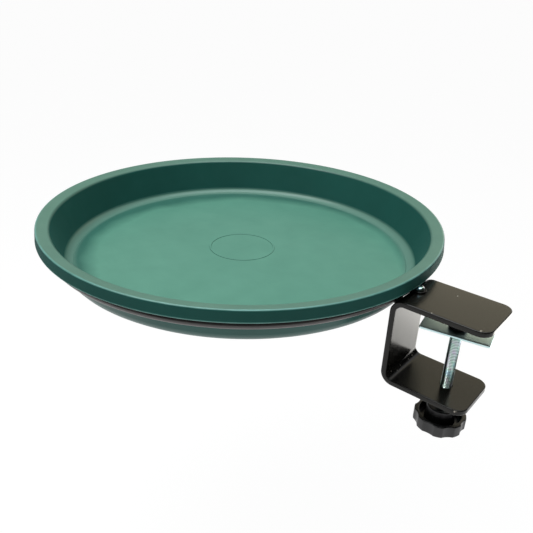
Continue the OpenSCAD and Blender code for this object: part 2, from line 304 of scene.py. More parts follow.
def rounded_path(corners, closed=False, steps=6, hold=0.3):
    """A path of straight lines through (x, y, radius) corners, with the corners rounded.

    A corner's arc has its centre on the middle line of the corner, radius / sin(half angle)
    away, and touches the two sides radius / tan(half angle) from the corner. Each straight
    keeps a point near either end, hold away, so that smooth shading stays flat along it.
    """
    corners = np.asarray(corners, float)
    spots = corners[:, :2]
    arcs = []
    for i, (spot, radius) in enumerate(zip(spots, corners[:, 2])):
        if radius == 0:
            arcs.append(spot[None])
            continue
        back = unit(spots[i - 1] - spot)
        ahead = unit(spots[(i + 1) % len(spots)] - spot)
        half = math.acos(np.clip(back @ ahead, -1, 1)) / 2
        centre = spot + unit(back + ahead) * radius / math.sin(half)
        first = spot + back * radius / math.tan(half) - centre
        last = spot + ahead * radius / math.tan(half) - centre
        start = math.atan2(first[1], first[0])
        sweep = (math.atan2(last[1], last[0]) - start + math.pi) % TURN - math.pi
        count = max(2, math.ceil(steps * abs(sweep) / QUARTER))
        angle = start + sweep * np.linspace(0, 1, count + 1)
        arcs.append(centre + radius * np.stack([np.cos(angle), np.sin(angle)], 1))
    path = [arcs[0]]
    for arc, following in zip(arcs, arcs[1:] + arcs[:closed]):
        gap = following[0] - arc[-1]
        length = np.linalg.norm(gap)
        if length > 3 * hold:
            step = gap / length * hold
            path.append(np.stack([arc[-1] + step, following[0] - step]))
        path.append(following)
    return np.concatenate(path[:-1] if closed else path)


def grid_faces(rows, columns, wrap_rows=False, wrap_columns=True):
    """The four-cornered faces of a grid of points that are numbered row by row."""
    number = np.arange(rows * columns).reshape(rows, columns)
    if wrap_rows:
        number = np.vstack([number, number[:1]])
    if wrap_columns:
        number = np.hstack([number, number[:, :1]])
    corners = [number[:-1, :-1], number[:-1, 1:], number[1:, 1:], number[1:, :-1]]
    return np.stack(corners, -1).reshape(-1, 4)


def open_tube(rings):
    """A tube of rings of points, left open at both ends."""
    return rings.reshape(-1, 3), [grid_faces(*rings.shape[:2])]


def closed_tube(rings, poles):
    """A tube of rings of points, with a fan of triangles round a pole at either end."""
    rows, steps = rings.shape[:2]
    column = np.arange(steps)
    ahead = np.roll(column, -1)
    last = (rows - 1) * steps
    first_fan = np.stack([np.full(steps, rows * steps), ahead, column], 1)
    last_fan = np.stack([np.full(steps, rows * steps + 1), last + column, last + ahead], 1)
    points = np.concatenate([rings.reshape(-1, 3), poles])
    return points, [grid_faces(rows, steps), first_fan, last_fan]


def carried_round(radius, height, steps, closed=False, centre=(0, 0)):
    """A section carried once round an upright axis.

    Row i and column j lie at radius[i, j] and height[i, j] and at j steps of the full turn:
    x = radius cos(angle), y = radius sin(angle), z = height. A closed section joins its last
    row to its first. An open one starts and ends on the axis, at a pole.
    """
    angle = turn_angles(steps)
    radius = np.broadcast_to(radius, (len(radius), steps))
    height = np.broadcast_to(height, radius.shape)
    x = centre[0] + radius * np.cos(angle)
    y = centre[1] + radius * np.sin(angle)
    points = np.stack([x, y, height], -1)
    if closed:
        return points.reshape(-1, 3), [grid_faces(len(points), steps, wrap_rows=True)]
    return closed_tube(points[1:-1], points[[0, -1], 0])


def carried_rows(rows, steps, closed=False, centre=(0, 0)):
    """Carries rows of radius and height round, each one number or one for each step."""
    filled = [[np.broadcast_to(value, steps) for value in row] for row in rows]
    radius, height = (np.array(part, float) for part in zip(*filled))
    return carried_round(radius, height, steps, closed, centre)


def turned(path, steps, centre=(0, 0)):
    """A path of (radius, height) points turned about an upright axis, from pole to pole."""
    return carried_round(path[:, :1], path[:, 1:], steps, centre=centre)


def hexagon(across_flats, steps):
    """Radius of a hexagon at each step of a turn, with a flat facing along X.

    A flat's radius is half its width divided by the cosine of the angle from the flat's
    middle. The points are worn off a little.
    """
    from_flat = (turn_angles(steps) + math.pi / 6) % (math.pi / 3) - math.pi / 6
    radius = across_flats / 2 / np.cos(from_flat)
    return np.minimum(radius, across_flats / 2 / math.cos(math.pi / 6) * HEX_WEAR)


def new_object(name, data):
    """A new object at the origin of the scene."""
    made = bpy.data.objects.new(name, data)
    bpy.context.scene.collection.objects.link(made)
    return made


def make_piece(name, shapes, body, node, material, sharp=38):
    """Joins shapes into one mesh, closes its seams, and puts it on its body.

    A shape is its points, in millimetres, and a list of its faces. Edges that turn more than
    sharp degrees are shaded as sharp.
    """
    points = []
    faces = []
    count = 0
    for shape_points, shape_faces in shapes:
        points.append(shape_points)
        for block in shape_faces:
            faces += (block + count).tolist()
        count += len(shape_points)
    mesh = bpy.data.meshes.new(name)
    mesh.from_pydata((np.concatenate(points) * MM).tolist(), [], faces)
    work = bmesh.new()
    work.from_mesh(mesh)
    bmesh.ops.remove_doubles(work, verts=work.verts, dist=MERGE_M)
    bmesh.ops.recalc_face_normals(work, faces=work.faces)
    work.to_mesh(mesh)
    work.free()
    mesh.shade_smooth()
    mesh.set_sharp_from_angle(angle=math.radians(sharp))
    mesh.materials.append(material)
    piece = new_object(name, mesh)
    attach(piece, body)
    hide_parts(node)
    return piece


def mark_facing(piece):
    """Gives each point of a piece a facing value: its normal's z, 1 where it faces up."""
    mesh = piece.data
    normals = np.empty(3 * len(mesh.vertices), np.float32)
    mesh.vertex_normals.foreach_get("vector", normals)
    facing = mesh.attributes.new("facing", "FLOAT", "POINT")
    facing.data.foreach_set("value", normals[2::3].copy())


class Nodes:
    """A node tree, with short calls that add a node and set or link its inputs."""

    def __init__(self, tree):
        self.tree = tree
        tree.nodes.clear()

    def add(self, kind, inputs=None, **settings):
        node = self.tree.nodes.new(kind)
        for key, value in settings.items():
            setattr(node, key, value)
        for key, value in (inputs or {}).items():
            if isinstance(value, bpy.types.NodeSocket):
                self.tree.links.new(value, node.inputs[key])
            else:
                node.inputs[key].default_value = value
        return node

    def maths(self, operation, first, second):
        return self.add("ShaderNodeMath", {0: first, 1: second}, operation=operation).outputs[0]

    def times(self, first, second):
        return self.maths("MULTIPLY", first, second)

    def spread(self, value, low, high, start=0.0, end=1.0):
        """Goes from low to high as the value goes from start to end."""
        inputs = {"Value": value, "From Min": start, "From Max": end, "To Min": low, "To Max": high}
        return self.add("ShaderNodeMapRange", inputs).outputs[0]

    def shows_background(self):
        """1 for a ray that shows the background to the camera, in gloss or through glass, else 0.

        A mirrored ray that first left a dull surface counts as light on the object.
        """
        ray = self.add("ShaderNodeLightPath").outputs
        undulled = self.maths("LESS_THAN", ray["Diffuse Depth"], 0.5)
        mirrored = self.times(ray["Is Glossy Ray"], undulled)
        seen = self.maths("MAXIMUM", ray["Is Camera Ray"], mirrored)
        return self.maths("MAXIMUM", seen, ray["Is Transmission Ray"])


class Finish(Nodes):
    """A node material that reads the place on the piece."""

    def __init__(self, name):
        self.material = bpy.data.materials.new(name)
        self.material.use_nodes = True
        super().__init__(self.material.node_tree)
        self.place = self.add("ShaderNodeTexCoord").outputs["Object"]

    def height(self):
        """The height above the frame's origin."""
        return self.add("ShaderNodeSeparateXYZ", {"Vector": self.place}).outputs["Z"]

    def vectors(self, operation, *inputs):
        """The outputs of a sum with vectors."""
        return self.add("ShaderNodeVectorMath", dict(enumerate(inputs)), operation=operation).outputs

    def across(self, x, y):
        """The distance from an upright axis, given in millimetres."""
        offset = self.vectors("SUBTRACT", self.place, (x * MM, y * MM, 0))["Vector"]
        flat = self.vectors("MULTIPLY", offset, (1, 1, 0))["Vector"]
        return self.vectors("LENGTH", flat)["Value"]

    def spread_mm(self, value, low, high, start, end):
        """As spread does, with start and end in millimetres."""
        return self.spread(value, low, high, start * MM, end * MM)

    def noise(self, scale, detail):
        """Cloudy noise with so many features to the metre."""
        inputs = {"Vector": self.place, "Scale": scale, "Detail": detail}
        return self.add("ShaderNodeTexNoise", inputs).outputs[0]

    def uneven(self, scale, detail, low, high, start=NOISE_LOW, end=NOISE_HIGH):
        """A value that noise moves between low and high."""
        return self.spread(self.noise(scale, detail), low, high, start, end)

    def bump(self, scale, detail, distance, strength):
        """A normal that noise makes uneven."""
        inputs = {"Height": self.noise(scale, detail), "Distance": distance, "Strength": strength}
        return self.add("ShaderNodeBump", inputs).outputs[0]

    def tones(self, value, colours, end=NOISE_HIGH):
        """A colour for each value, from colours spaced evenly up to the end."""
        node = self.add("ShaderNodeValToRGB", {"Fac": value})
        elements = node.color_ramp.elements
        while len(elements) < len(colours):
            elements.new(0.5)
        positions = np.linspace(NOISE_LOW, end, len(colours)).tolist()
        for element, position, colour in zip(elements, positions, colours):
            element.position = position
            element.color = (*colour, 1)
        return node.outputs["Color"]

    def mixed(self, share, first, second):
        """A colour between two colours. Sockets 6, 7 and 2 are the mix node's colour ones."""
        colours = [v if isinstance(v, bpy.types.NodeSocket) else (*v, 1) for v in (first, second)]
        inputs = {"Factor": share, 6: colours[0], 7: colours[1]}
        return self.add("ShaderNodeMix", inputs, data_type="RGBA").outputs[2]

    def surface(self, **inputs):
        """The finished material. A shader input's name has _ for a space."""
        named = {key.replace("_", " "): value for key, value in inputs.items()}
        shader = self.add("ShaderNodeBsdfPrincipled", named)
        self.add("ShaderNodeOutputMaterial", {"Surface": shader.outputs[0]})
        return self.material


def green_plastic():
    """Moulded green plastic: deep and dull on the walls, paler where it faces up, partly as a
    painted sheen.

    Water has left a pale film on the floor, which thins out towards an uneven edge, a little off
    the basin's middle. The film's tone and the lip's weathered tone also hold a painted sheen. The
    fillet carries a painted highlight, as do the lip's outer edge and the skirt's lower edge, and
    the underside is a little greyer as a painted reflection of the pale floor. Faces that stand
    steep are the dullest. The mesh's own facing attribute says how far a place faces up.
    """
    finish = Finish("green_plastic")
    height = finish.height()
    facing = finish.add("ShaderNodeAttribute", attribute_name="facing").outputs["Fac"]
    from_axis = finish.across(*basin_axis)
    cloud = finish.noise(22, 3)
    deep = finish.tones(cloud, DEEP_GREEN)
    # Paler where it faces up: partly real film and weathering, partly a painted sheen
    level = finish.times(finish.spread(facing, 0, 1, 0.5, 0.97), finish.uneven(55, 4, 0.9, 1.0))

    ragged = finish.uneven(28, 3, -FILM_RAGGED * MM, FILM_RAGGED * MM)
    from_pool = finish.maths("ADD", finish.across(*(basin_axis + FILM_SHIFT)), ragged)
    film = finish.spread_mm(from_pool, 1, FILM_BEYOND, FILM_R - FILM_FADE, FILM_R + FILM_FADE)
    # The film's pale tone is partly a painted sheen
    inside = finish.mixed(finish.times(film, level), deep, finish.tones(cloud, WATER_FILM_AND_SHEEN))
    # A painted highlight on the fillet, where it faces up
    fillet_highlight = finish.spread_mm(from_axis, 0, 1, FILLET_HIGHLIGHT_R - FILLET_HIGHLIGHT_FADE, FILLET_HIGHLIGHT_R + FILLET_HIGHLIGHT_FADE)
    fillet_highlight = finish.times(fillet_highlight, finish.spread(facing, 0, 1, 0.3, 0.62))
    inside = finish.mixed(fillet_highlight, inside, FILLET_HIGHLIGHT_TONE)

    # The lip: weathered where it faces up, and paler there as a painted sheen too
    lip = finish.mixed(level, deep, finish.tones(cloud, WEATHERED_AND_SHEEN))
    colour = finish.mixed(finish.spread_mm(height, 0, 1, FILM_LOW, FILM_TOP), inside, lip)
    # Faces that look down turn greyer: a painted reflection of the pale floor
    colour = finish.mixed(finish.spread(facing, 0.2, 0, -0.5, -0.2), colour, UNDERSIDE_REFLECTION_TONE)

    # Painted highlights along the lip's outer edge and the skirt's lower edge
    foot_z = rim_z - SKIRT_H
    at_foot = finish.spread_mm(height, 1, 0, foot_z + EDGE_HIGHLIGHT_FOOT[0], foot_z + EDGE_HIGHLIGHT_FOOT[1])
    at_rim = finish.spread_mm(height, 0, 1, rim_z - EDGE_HIGHLIGHT_RIM[0], rim_z - EDGE_HIGHLIGHT_RIM[1])
    outside = finish.spread_mm(from_axis, 0, 1, RIM_R - EDGE_HIGHLIGHT_IN[0], RIM_R - EDGE_HIGHLIGHT_IN[1])
    edge_highlight = finish.times(finish.maths("MAXIMUM", at_foot, at_rim), outside)
    edge_highlight = finish.times(edge_highlight, finish.uneven(90, 4, 0.5, 0.95, 0.35, 0.65))
    colour = finish.mixed(edge_highlight, colour, EDGE_HIGHLIGHT_TONE)

    steep = finish.spread(facing, 1, 0, 0.32, 0.5)
    steep = finish.times(steep, finish.spread(facing, 0, 1, -0.2, 0))
    rough = finish.maths("ADD", finish.uneven(75, 4, 0.30, 0.36), finish.times(steep, STEEP_DULL))
    grain = finish.bump(650, 2, 2e-5, 0.15)
    return finish.surface(Base_Color=colour, Roughness=rough, Specular_IOR_Level=0.32, Normal=grain)


def black_coat(name, tones, roughness, gloss, chips_and_glints=()):
    """Black powder coat on steel: a soft orange-peel skin, a little uneven in gloss.

    A chip is a spot's x, y, z and radius, where the pale ground shows through; the same pale spots
    also stand as painted glints. Noise makes its outline ragged.
    """
    finish = Finish(name)
    colour = finish.tones(finish.noise(40, 3), tones)
    rough = finish.uneven(160, 3, *roughness)
    ragged = finish.uneven(1400, 2, 0.4, 1.5)
    # Pale spots: chips in the coat, and painted glints
    for *spot, radius in chips_and_glints:
        away = finish.vectors("DISTANCE", finish.place, [value * MM for value in spot])["Value"]
        bare_or_glint = finish.spread(finish.times(away, ragged), 1, 0, radius * MM * SPOT_CORE, radius * MM)
        colour = finish.mixed(bare_or_glint, colour, CHIP_AND_GLINT_TONE)
    peel = finish.bump(420, 2, 3e-5, 0.3)
    return finish.surface(Base_Color=colour, Roughness=rough, Specular_IOR_Level=gloss, Normal=peel)


def zinc_plate(name, tints, patches, roughness, root_shade_tone=None):
    """Bright zinc plating with faint patches of colour, so many to the metre.

    The last argument, if given, is the darker colour of the roots of the screw's thread: painted
    shade there, and grease.
    """
    finish = Finish(name)
    colour = finish.tones(finish.noise(patches, 2), tints, end=0.72)
    # Darkens the roots of the thread: painted shade, and grease
    if root_shade_tone:
        root_r = SCREW_R - THREAD_DEPTH
        undarkened_r = SCREW_R - UNDARKENED_SHARE * THREAD_DEPTH
        dark_root = finish.spread_mm(finish.across(0, 0), 1, 0, root_r, undarkened_r)
        on_thread = finish.spread_mm(finish.height(), 1, 0, shoulder_z - ROOT_DARK_FADE, shoulder_z)
        colour = finish.mixed(finish.times(dark_root, on_thread), colour, root_shade_tone)
    rough = finish.uneven(500, 3, *roughness)
    skin = finish.bump(900, 2, 4e-6, 0.3)
    return finish.surface(Base_Color=colour, Metallic=1.0, Roughness=rough, Normal=skin)


def knob_plastic():
    """Satin black plastic with a fine grain."""
    finish = Finish("knob_plastic")
    colour = finish.tones(finish.noise(60, 3), KNOB_BLACK)
    rough = finish.uneven(220, 3, 0.30, 0.42)
    grain = finish.bump(900, 2, 2e-5, 0.35)
    return finish.surface(Base_Color=colour, Roughness=rough, Specular_IOR_Level=0.5, Normal=grain)


def basin_shape():
    """The basin: its section turned about its axis.

    The section runs from the middle of the underside out to the wall, up under the lip, down
    and round the skirt, over the lip, down the inside of the wall and in along the floor.
    """
    lip_in = RIM_R - LIP_W
    out = WALL_T / math.cos(WALL_DRAFT)
    tilt = math.atan(LIP_FALL / LIP_W)
    under = WALL_T / math.cos(tilt)
    floor_z = FLOOR_T - BASIN_H
    raised_z = floor_z + FLOOR_RELIEF

    def wall_r(height):
        return lip_in + (height + LIP_FALL) * WALL_SLOPE

    foot_r = wall_r(floor_z) - FLOOR_FILLET * math.tan((QUARTER - WALL_DRAFT) / 2)
    margin_r = foot_r - FLOOR_MARGIN
    skirt_in = RIM_R - SKIRT_T
    lean = math.tan(tilt) * WALL_SLOPE
    throat_r = (wall_r(-under) + out - RIM_R * lean) / (1 - lean)
    mark_in = MARK_R - MARK_W
    section = rounded_path(
        [
            (0, -BASIN_H, 0),
            (wall_r(-BASIN_H) + out, -BASIN_H, FOOT_FILLET),
            (throat_r, (throat_r - RIM_R) * math.tan(tilt) - under, LIP_ROUND),
            (skirt_in, -SKIRT_T * math.tan(tilt) - under, LIP_ROUND),
            (skirt_in + SKIRT_FLARE, -SKIRT_H, SKIRT_EDGE_IN),
            (RIM_R + SKIRT_FLARE, -SKIRT_H, SKIRT_EDGE_OUT),
            (RIM_R, 0, LIP_ROUND),
            (lip_in, -LIP_FALL, LIP_INNER_ROUND),
            (wall_r(floor_z), floor_z, FLOOR_FILLET),
            (margin_r, floor_z, MARGIN_ROUND),
            (margin_r - FLOOR_RELIEF, raised_z, RELIEF_ROUND),
            (MARK_R + MARK_LEAN, raised_z, MARK_ROUND),
            (MARK_R, raised_z + FLOOR_RELIEF, MARK_ROUND),
            (mark_in, raised_z + FLOOR_RELIEF, MARK_ROUND),
            (mark_in - MARK_LEAN, raised_z, MARK_ROUND),
            (0, raised_z, 0),
        ],
        hold=0.12,
    )
    section[:, 1] += rim_z
    return turned(section, BASIN_STEPS, basin_axis)


def rod_shape():
    """The ring: a round rod's section, radius from ring_r, carried round the basin's axis."""
    angle = turn_angles(ROD_STEPS)[:, None]
    radius = ring_r + rod_r * np.cos(angle)
    height = ring_z + rod_r * np.sin(angle)
    return carried_round(radius, height, BASIN_STEPS, closed=True, centre=basin_axis)


def flat_plate(outline, hole_r, bottom, top, edge, centre=(0, 0)):
    """A flat plate round a hole, with softened edges.

    outline is the plate's radius at each step of a turn. The closed section goes up the hole's
    wall, out along the top, round the edge in a quarter circle above and below, and back.
    """
    steps = len(outline)
    arc = np.linspace(0, QUARTER, EDGE_POINTS)[:, None]
    small = edge / 2
    reach = np.linspace(0, 1, FACE_POINTS)[:-1, None]
    face_r = hole_r + small + (outline - edge - hole_r - small) * reach
    over_r = outline - edge + edge * np.sin(arc)
    over_z = top - edge + edge * np.cos(arc) + 0 * outline
    under_z = bottom + top - over_z
    hole = np.full((1, steps), hole_r)
    radius = [hole, face_r, over_r, over_r[::-1], face_r[::-1], hole]
    height = [
        np.full(hole.shape, top - small),
        np.full(face_r.shape, top),
        over_z,
        under_z[::-1],
        np.full(face_r.shape, bottom),
        np.full(hole.shape, bottom + small),
    ]
    return carried_round(np.vstack(radius), np.vstack(height), steps, True, centre)


def tongue_shape():
    """The tongue: a plate with a half-round end, whose straight end runs up to the rod.

    Towards the rod its radius is the smaller of the half width over the sine and the distance
    to the rod over the cosine.
    """
    angle = turn_angles(TONGUE_STEPS)
    half_w = tongue_high[1]
    with np.errstate(divide="ignore"):
        side = half_w / np.abs(np.sin(angle))
        end = (bolt_x - rod_x) / np.abs(np.cos(angle))
    outline = np.where(np.cos(angle) > 0, half_w, np.minimum(side, end))
    bottom, top = tongue_low[2], tongue_high[2]
    return flat_plate(outline, BOLT_R + HOLE_PLAY, bottom, top, PLATE_EDGE, (bolt_x, 0))


def bead_shape(middle, along, across, radius, ripples):
    """A weld bead: a round section carried along a straight, with ripples that the torch left.

    along is half of the bead's length. The section's radius is scaled by the square root of
    1 minus the fourth power of the way from the middle, so that both ends close, and rises and
    falls with the sine of the way along.
    """
    way = np.sin(np.linspace(-QUARTER, QUARTER, BEAD_ROWS))[:, None]
    rise = 1 + RIPPLE_SHARE * np.sin(way * ripples * math.pi)
    swell = np.sqrt(np.maximum(1 - way**4, 0)) * radius * rise
    angle = turn_angles(BEAD_STEPS)[:, None]
    line = np.array(middle) + np.array(along) * way
    ring = np.cos(angle) * np.array(across) + np.sin(angle) * UP
    points = line[:, None] + swell[:, :, None] * ring
    return closed_tube(points[1:-1], line[[0, -1]])


def ring_bead():
    """The bead in the corner where the tongue's top meets the rod."""
    top = tongue_high[2]
    corner_x = rod_x + math.sqrt(rod_r**2 - (top - ring_z) ** 2)
    along = (0, RING_BEAD_HALF, 0)
    return bead_shape((corner_x, 0, top), along, (1, 0, 0), RING_BEAD_R, RING_RIPPLES)


def shoulder_pads():
    """The two beads that join the ring to the clamp's shoulder, one on either side."""
    x, _, z = (pad_low + pad_high) / 2
    half_l = (PAD_Y[1] - PAD_Y[0]) / 2
    pads = []
    for side in (-1, 1):
        middle = (x, side * (PAD_Y[0] + PAD_Y[1]) / 2, z)
        pads.append(bead_shape(middle, (0, side * half_l, 0), (1, 0, 0), PAD_R, RING_RIPPLES))
    return pads


def nut_beads():
    """The three beads along every other flat of the nut, where it meets the jaw."""
    beads = []
    for turn in (0, TURN / 3, 2 * TURN / 3):
        outward = np.array([math.cos(turn), math.sin(turn), 0])
        sideways = np.array([-math.sin(turn), math.cos(turn), 0])
        middle = outward * HEX_AF / 2 + nut_high[2] * UP
        beads.append(bead_shape(middle, NUT_BEAD_HALF * sideways, outward, NUT_BEAD_R, NUT_RIPPLES))
    return beads


def bolt_shape():
    """The ring bolt: a button head with a hexagon socket, and its shank below.

    The section is carried round the bolt. From the end of the shank it goes out under the head,
    up its edge, over the dome in a quarter circle, and down the socket, whose radius is a
    hexagon's.
    """
    bottom, top = bolt_low[2], bolt_high[2]
    seat = tongue_high[2]
    head_r = (bolt_high[1] - bolt_low[1]) / 2
    dome_r = top - seat - BUTTON_EDGE
    outside = rounded_path(
        [
            (0, bottom, 0),
            (BOLT_R, bottom, BOLT_TIP),
            (BOLT_R, seat, 0),
            (head_r, seat, BUTTON_ROUND),
            (head_r, top, dome_r),
            (head_r - dome_r - BUTTON_FLAT, top, 0),
        ],
        steps=10,
    )
    socket = hexagon(SOCKET_AF, HEX_STEPS)
    socket_z = (seat + top) / 2
    rows = [
        *outside,
        (socket + SOCKET_EDGE, top),
        (socket, top - SOCKET_EDGE),
        (socket, socket_z),
        (0, socket_z),
    ]
    return carried_rows(rows, HEX_STEPS, centre=(bolt_x, 0))


def bent(along, across, out):
    """Bends the flat strap into a C.

    The strap's middle line runs back along the upper jaw, down a quarter turn, down the web,
    round a second quarter turn and out along the lower jaw. along is the distance on that line
    and out is the distance from it, away from the throat. Each part of the line adds its own
    share: straights add their length and turns add the radius times a sine or 1 minus a cosine.
    """
    on_upper = np.clip(along, 0, upper_l)
    first_turn = np.clip((along - upper_l) / mid_r, 0, QUARTER)
    on_web = np.clip(along - upper_l - arc_l, 0, web_l)
    second_turn = np.clip((along - upper_l - arc_l - web_l) / mid_r, 0, QUARTER)
    on_lower = np.maximum(along - upper_l - web_l - 2 * arc_l, 0)
    x = upper_end - on_upper - mid_r * np.sin(first_turn)
    x = x + mid_r * (1 - np.cos(second_turn)) + on_lower
    z = strap_high[2] - STRAP_T / 2 - mid_r * (1 - np.cos(first_turn))
    z = z - on_web - mid_r * np.sin(second_turn)
    turn = first_turn + second_turn
    return np.stack([x - out * np.sin(turn), across, z + out * np.cos(turn)], -1)


def on_bend(level, share, out):
    """Stations of points that lie level along the upper jaw and past the start of its bend.

    The bend's line turns away by the arc sine of the distance over the radius at out. share
    says how far a point is moved to there.
    """
    past = level - upper_end + bend_x
    beyond = np.clip(past / (mid_r + out), 0, ARC_LIMIT)
    return level + share * (mid_r * np.arcsin(beyond) - np.maximum(past, 0))


def edge_loop(low_a, high_a, low_b, high_b):
    """Both numbers of a grid's points round the edge of a block, once round."""
    a = np.arange(low_a, high_a)
    b = np.arange(low_b, high_b)
    loop_a = [np.full(len(b), low_a), a, np.full(len(b), high_a), a[::-1] + 1]
    loop_b = [b, np.full(len(a), high_b), b[::-1] + 1, np.full(len(a), low_b)]
    return np.concatenate(loop_a), np.concatenate(loop_b)


def strap_shape():
    """The clamp's strap, cut flat with round corners and two holes and then bent.

    The flat face is a grid of stations along the strap and shares of its half width. At each
    end the half width follows the corner's quarter circle. Round a hole the square rings of
    grid points are drawn onto circles, less and less with each ring outward. The rim of the
    face is carried over the edge in a quarter circle above and below.
    """
    half_w = strap_high[1]
    half_t = STRAP_T / 2
    total = lower_start + lower_end - bend_x
    bolt_at = upper_end - bolt_x
    screw_at = lower_start - bend_x

    face_corner = JAW_CORNER_R - COAT_EDGE
    turn = np.linspace(0, QUARTER, CORNER_ROWS)
    end_along = JAW_CORNER_R - face_corner * np.cos(turn)
    end_half = half_w - JAW_CORNER_R + face_corner * np.sin(turn)
    marks = [JAW_CORNER_R, bolt_at, screw_at, total - JAW_CORNER_R]
    runs = [np.linspace(a, b, round((b - a) / STRAP_CELL) + 1)[1:] for a, b in zip(marks, marks[1:])]
    middle = np.concatenate(runs)[:-1]
    count = len(middle)
    stations = np.concatenate([end_along, middle, total - end_along[::-1]])
    halves = np.concatenate([end_half, np.full(count, half_w - COAT_EDGE), end_half[::-1]])
    lean = np.concatenate([turn, np.full(count, QUARTER), turn[::-1]])
    towards = np.repeat([-1.0, 0.0, 1.0], [CORNER_ROWS, count, CORNER_ROWS])
    share = np.linspace(-1, 1, STRAP_COLUMNS + 1)
    along = np.repeat(stations[:, None], len(share), 1)
    across = halves[:, None] * share

    row, column = np.indices(along.shape)
    middle_col = STRAP_COLUMNS // 2
    kept = np.ones((len(stations) - 1, STRAP_COLUMNS), bool)
    drawn = np.zeros(along.shape)
    rims = []
    holes = [(bolt_at, BOLT_R + HOLE_PLAY, BOLT_RINGS), (screw_at, JAW_HOLE_R, SCREW_RINGS)]
    for hole_at, hole_r, inner in holes:
        middle_row = np.abs(stations - hole_at).argmin()
        ring = np.maximum(np.abs(row - middle_row), np.abs(column - middle_col))
        dx, dy = along - hole_at, across
        distance = np.maximum(np.hypot(dx, dy), TINY)
        circle_r = hole_r + HOLE_EDGE + (ring - inner) * STRAP_CELL
        pull = np.clip((inner + DRAWN_RINGS - ring) / DRAWN_RINGS, 0, 1)
        pull = np.where(ring >= inner, pull, 0)
        scale = pull * circle_r / distance + 1 - pull
        along = hole_at + dx * scale
        across = dy * scale
        drawn = np.maximum(drawn, pull)
        low_row, high_row = middle_row - inner, middle_row + inner
        low_col, high_col = middle_col - inner, middle_col + inner
        kept[low_row:high_row, low_col:high_col] = False
        rim_cols, rim_rows = edge_loop(low_col, high_col, low_row, high_row)
        rims.append((hole_at, hole_r, rim_rows, rim_cols))

    cells = grid_faces(*along.shape, wrap_columns=False)[kept.ravel()]
    shapes = []
    for out in (half_t, -half_t):
        station = np.where(along < lower_start, on_bend(along, drawn, out), along)
        face = bent(station, across, np.full(along.shape, out))
        shapes.append((face.reshape(-1, 3), [cells]))

    loop_rows, loop_cols = edge_loop(0, len(stations) - 1, 0, STRAP_COLUMNS)
    outward_along = towards[loop_rows] * np.cos(lean[loop_rows])
    outward_across = np.sin(lean[loop_rows]) * np.sign(share[loop_cols])
    edge = np.linspace(0, QUARTER, EDGE_POINTS)[:, None]
    spread = COAT_EDGE * np.sin(edge)
    level = half_t - COAT_EDGE + COAT_EDGE * np.cos(edge)
    spread = np.vstack([spread, spread[::-1]])
    level = np.vstack([level, -level[::-1]])
    rim_along = along[loop_rows, loop_cols] + spread * outward_along
    rim_across = across[loop_rows, loop_cols] + spread * outward_across
    shapes.append(open_tube(bent(rim_along, rim_across, level + 0 * rim_along)))

    for hole_at, hole_r, rim_rows, rim_cols in rims:
        face_along = along[rim_rows, rim_cols] - hole_at
        face_across = across[rim_rows, rim_cols]
        inner = 1 - HOLE_EDGE / (hole_r + HOLE_EDGE)
        shrink = np.array([1, inner, inner, 1])[:, None]
        level = np.array([half_t, half_t - HOLE_EDGE, HOLE_EDGE - half_t, -half_t])[:, None]
        station = hole_at + face_along * shrink
        station = np.where(station < lower_start, on_bend(station, 1, level), station)
        shapes.append(open_tube(bent(station, face_across * shrink, level + 0 * face_along)))
    return shapes


def nut_shape():
    """The jaw nut: a hexagon with a chamfered lower face round the screw's bore."""
    flats = hexagon(HEX_AF, HEX_STEPS)
    bottom, top = nut_low[2], nut_high[2]
    bore = SCREW_R + HOLE_PLAY
    crown = HEX_AF / 2 * NUT_CROWN
    rows = [
        (bore, bottom + NUT_EDGE),
        (bore + NUT_EDGE, bottom),
        (crown, bottom),
        (flats, bottom + (flats - crown) * HEX_CHAMFER),
        (flats, top),
        (bore, top),
    ]
    return carried_rows(rows, HEX_STEPS, closed=True)


def thread_shape():
    """The screw's right-hand thread.

    Row i and column j lie at j steps of a turn. Their height is the start plus the pitch times
    the sum of i over the rows of a turn and j over its steps, so that a row climbs one pitch in
    a turn and meets the row that starts a turn later. The radius keeps to the crest, goes
    straight down a flank to the root and up the next, and narrows to the journal at the top.
    """
    steps, shares = SCREW_STEPS, THREAD_SHARES
    lowest = head_top - THREAD_SINK
    turns = math.floor((shoulder_z - lowest) / THREAD_PITCH) - 1
    start = shoulder_z - (turns + 1) * THREAD_PITCH
    rows = turns * shares + 1
    row = np.arange(rows)[:, None]
    column = np.arange(steps)[None]
    height = start + THREAD_PITCH * (row / shares + column / steps)
    phase = (row % shares) / shares + 0 * column
    depth = np.minimum((phase - CREST_SHARE) / FLANK_SHARE, (1 - phase) / FLANK_SHARE)
    radius = SCREW_R - THREAD_DEPTH * np.clip(depth, 0, 1)
    radius = np.minimum(radius, JOURNAL_R + (shoulder_z - height) * THREAD_TAPER + THREAD_LEDGE)
    angle = turn_angles(steps)
    points = np.stack([radius * np.cos(angle), radius * np.sin(angle), height], -1).reshape(-1, 3)
    number = np.arange(rows * steps).reshape(rows, steps)
    seam_first, seam_last = number[shares:, 0], number[:rows - shares, -1]
    seam = np.stack([seam_last[:-1], seam_first[:-1], seam_first[1:], seam_last[1:]], -1)
    low_loop = np.concatenate([number[0], number[shares:0:-1, 0]])
    high_loop = np.concatenate([number[-1, ::-1], number[-2:-shares - 2:-1, -1]])
    faces = [grid_faces(rows, steps, wrap_columns=False), seam]
    for pole, loop in ((len(points), low_loop), (len(points) + 1, high_loop)):
        faces.append(np.stack([np.full(len(loop), pole), np.roll(loop, -1), loop], 1))
    ends = np.array([[0, 0, start], [0, 0, shoulder_z]])
    return np.concatenate([points, ends]), faces


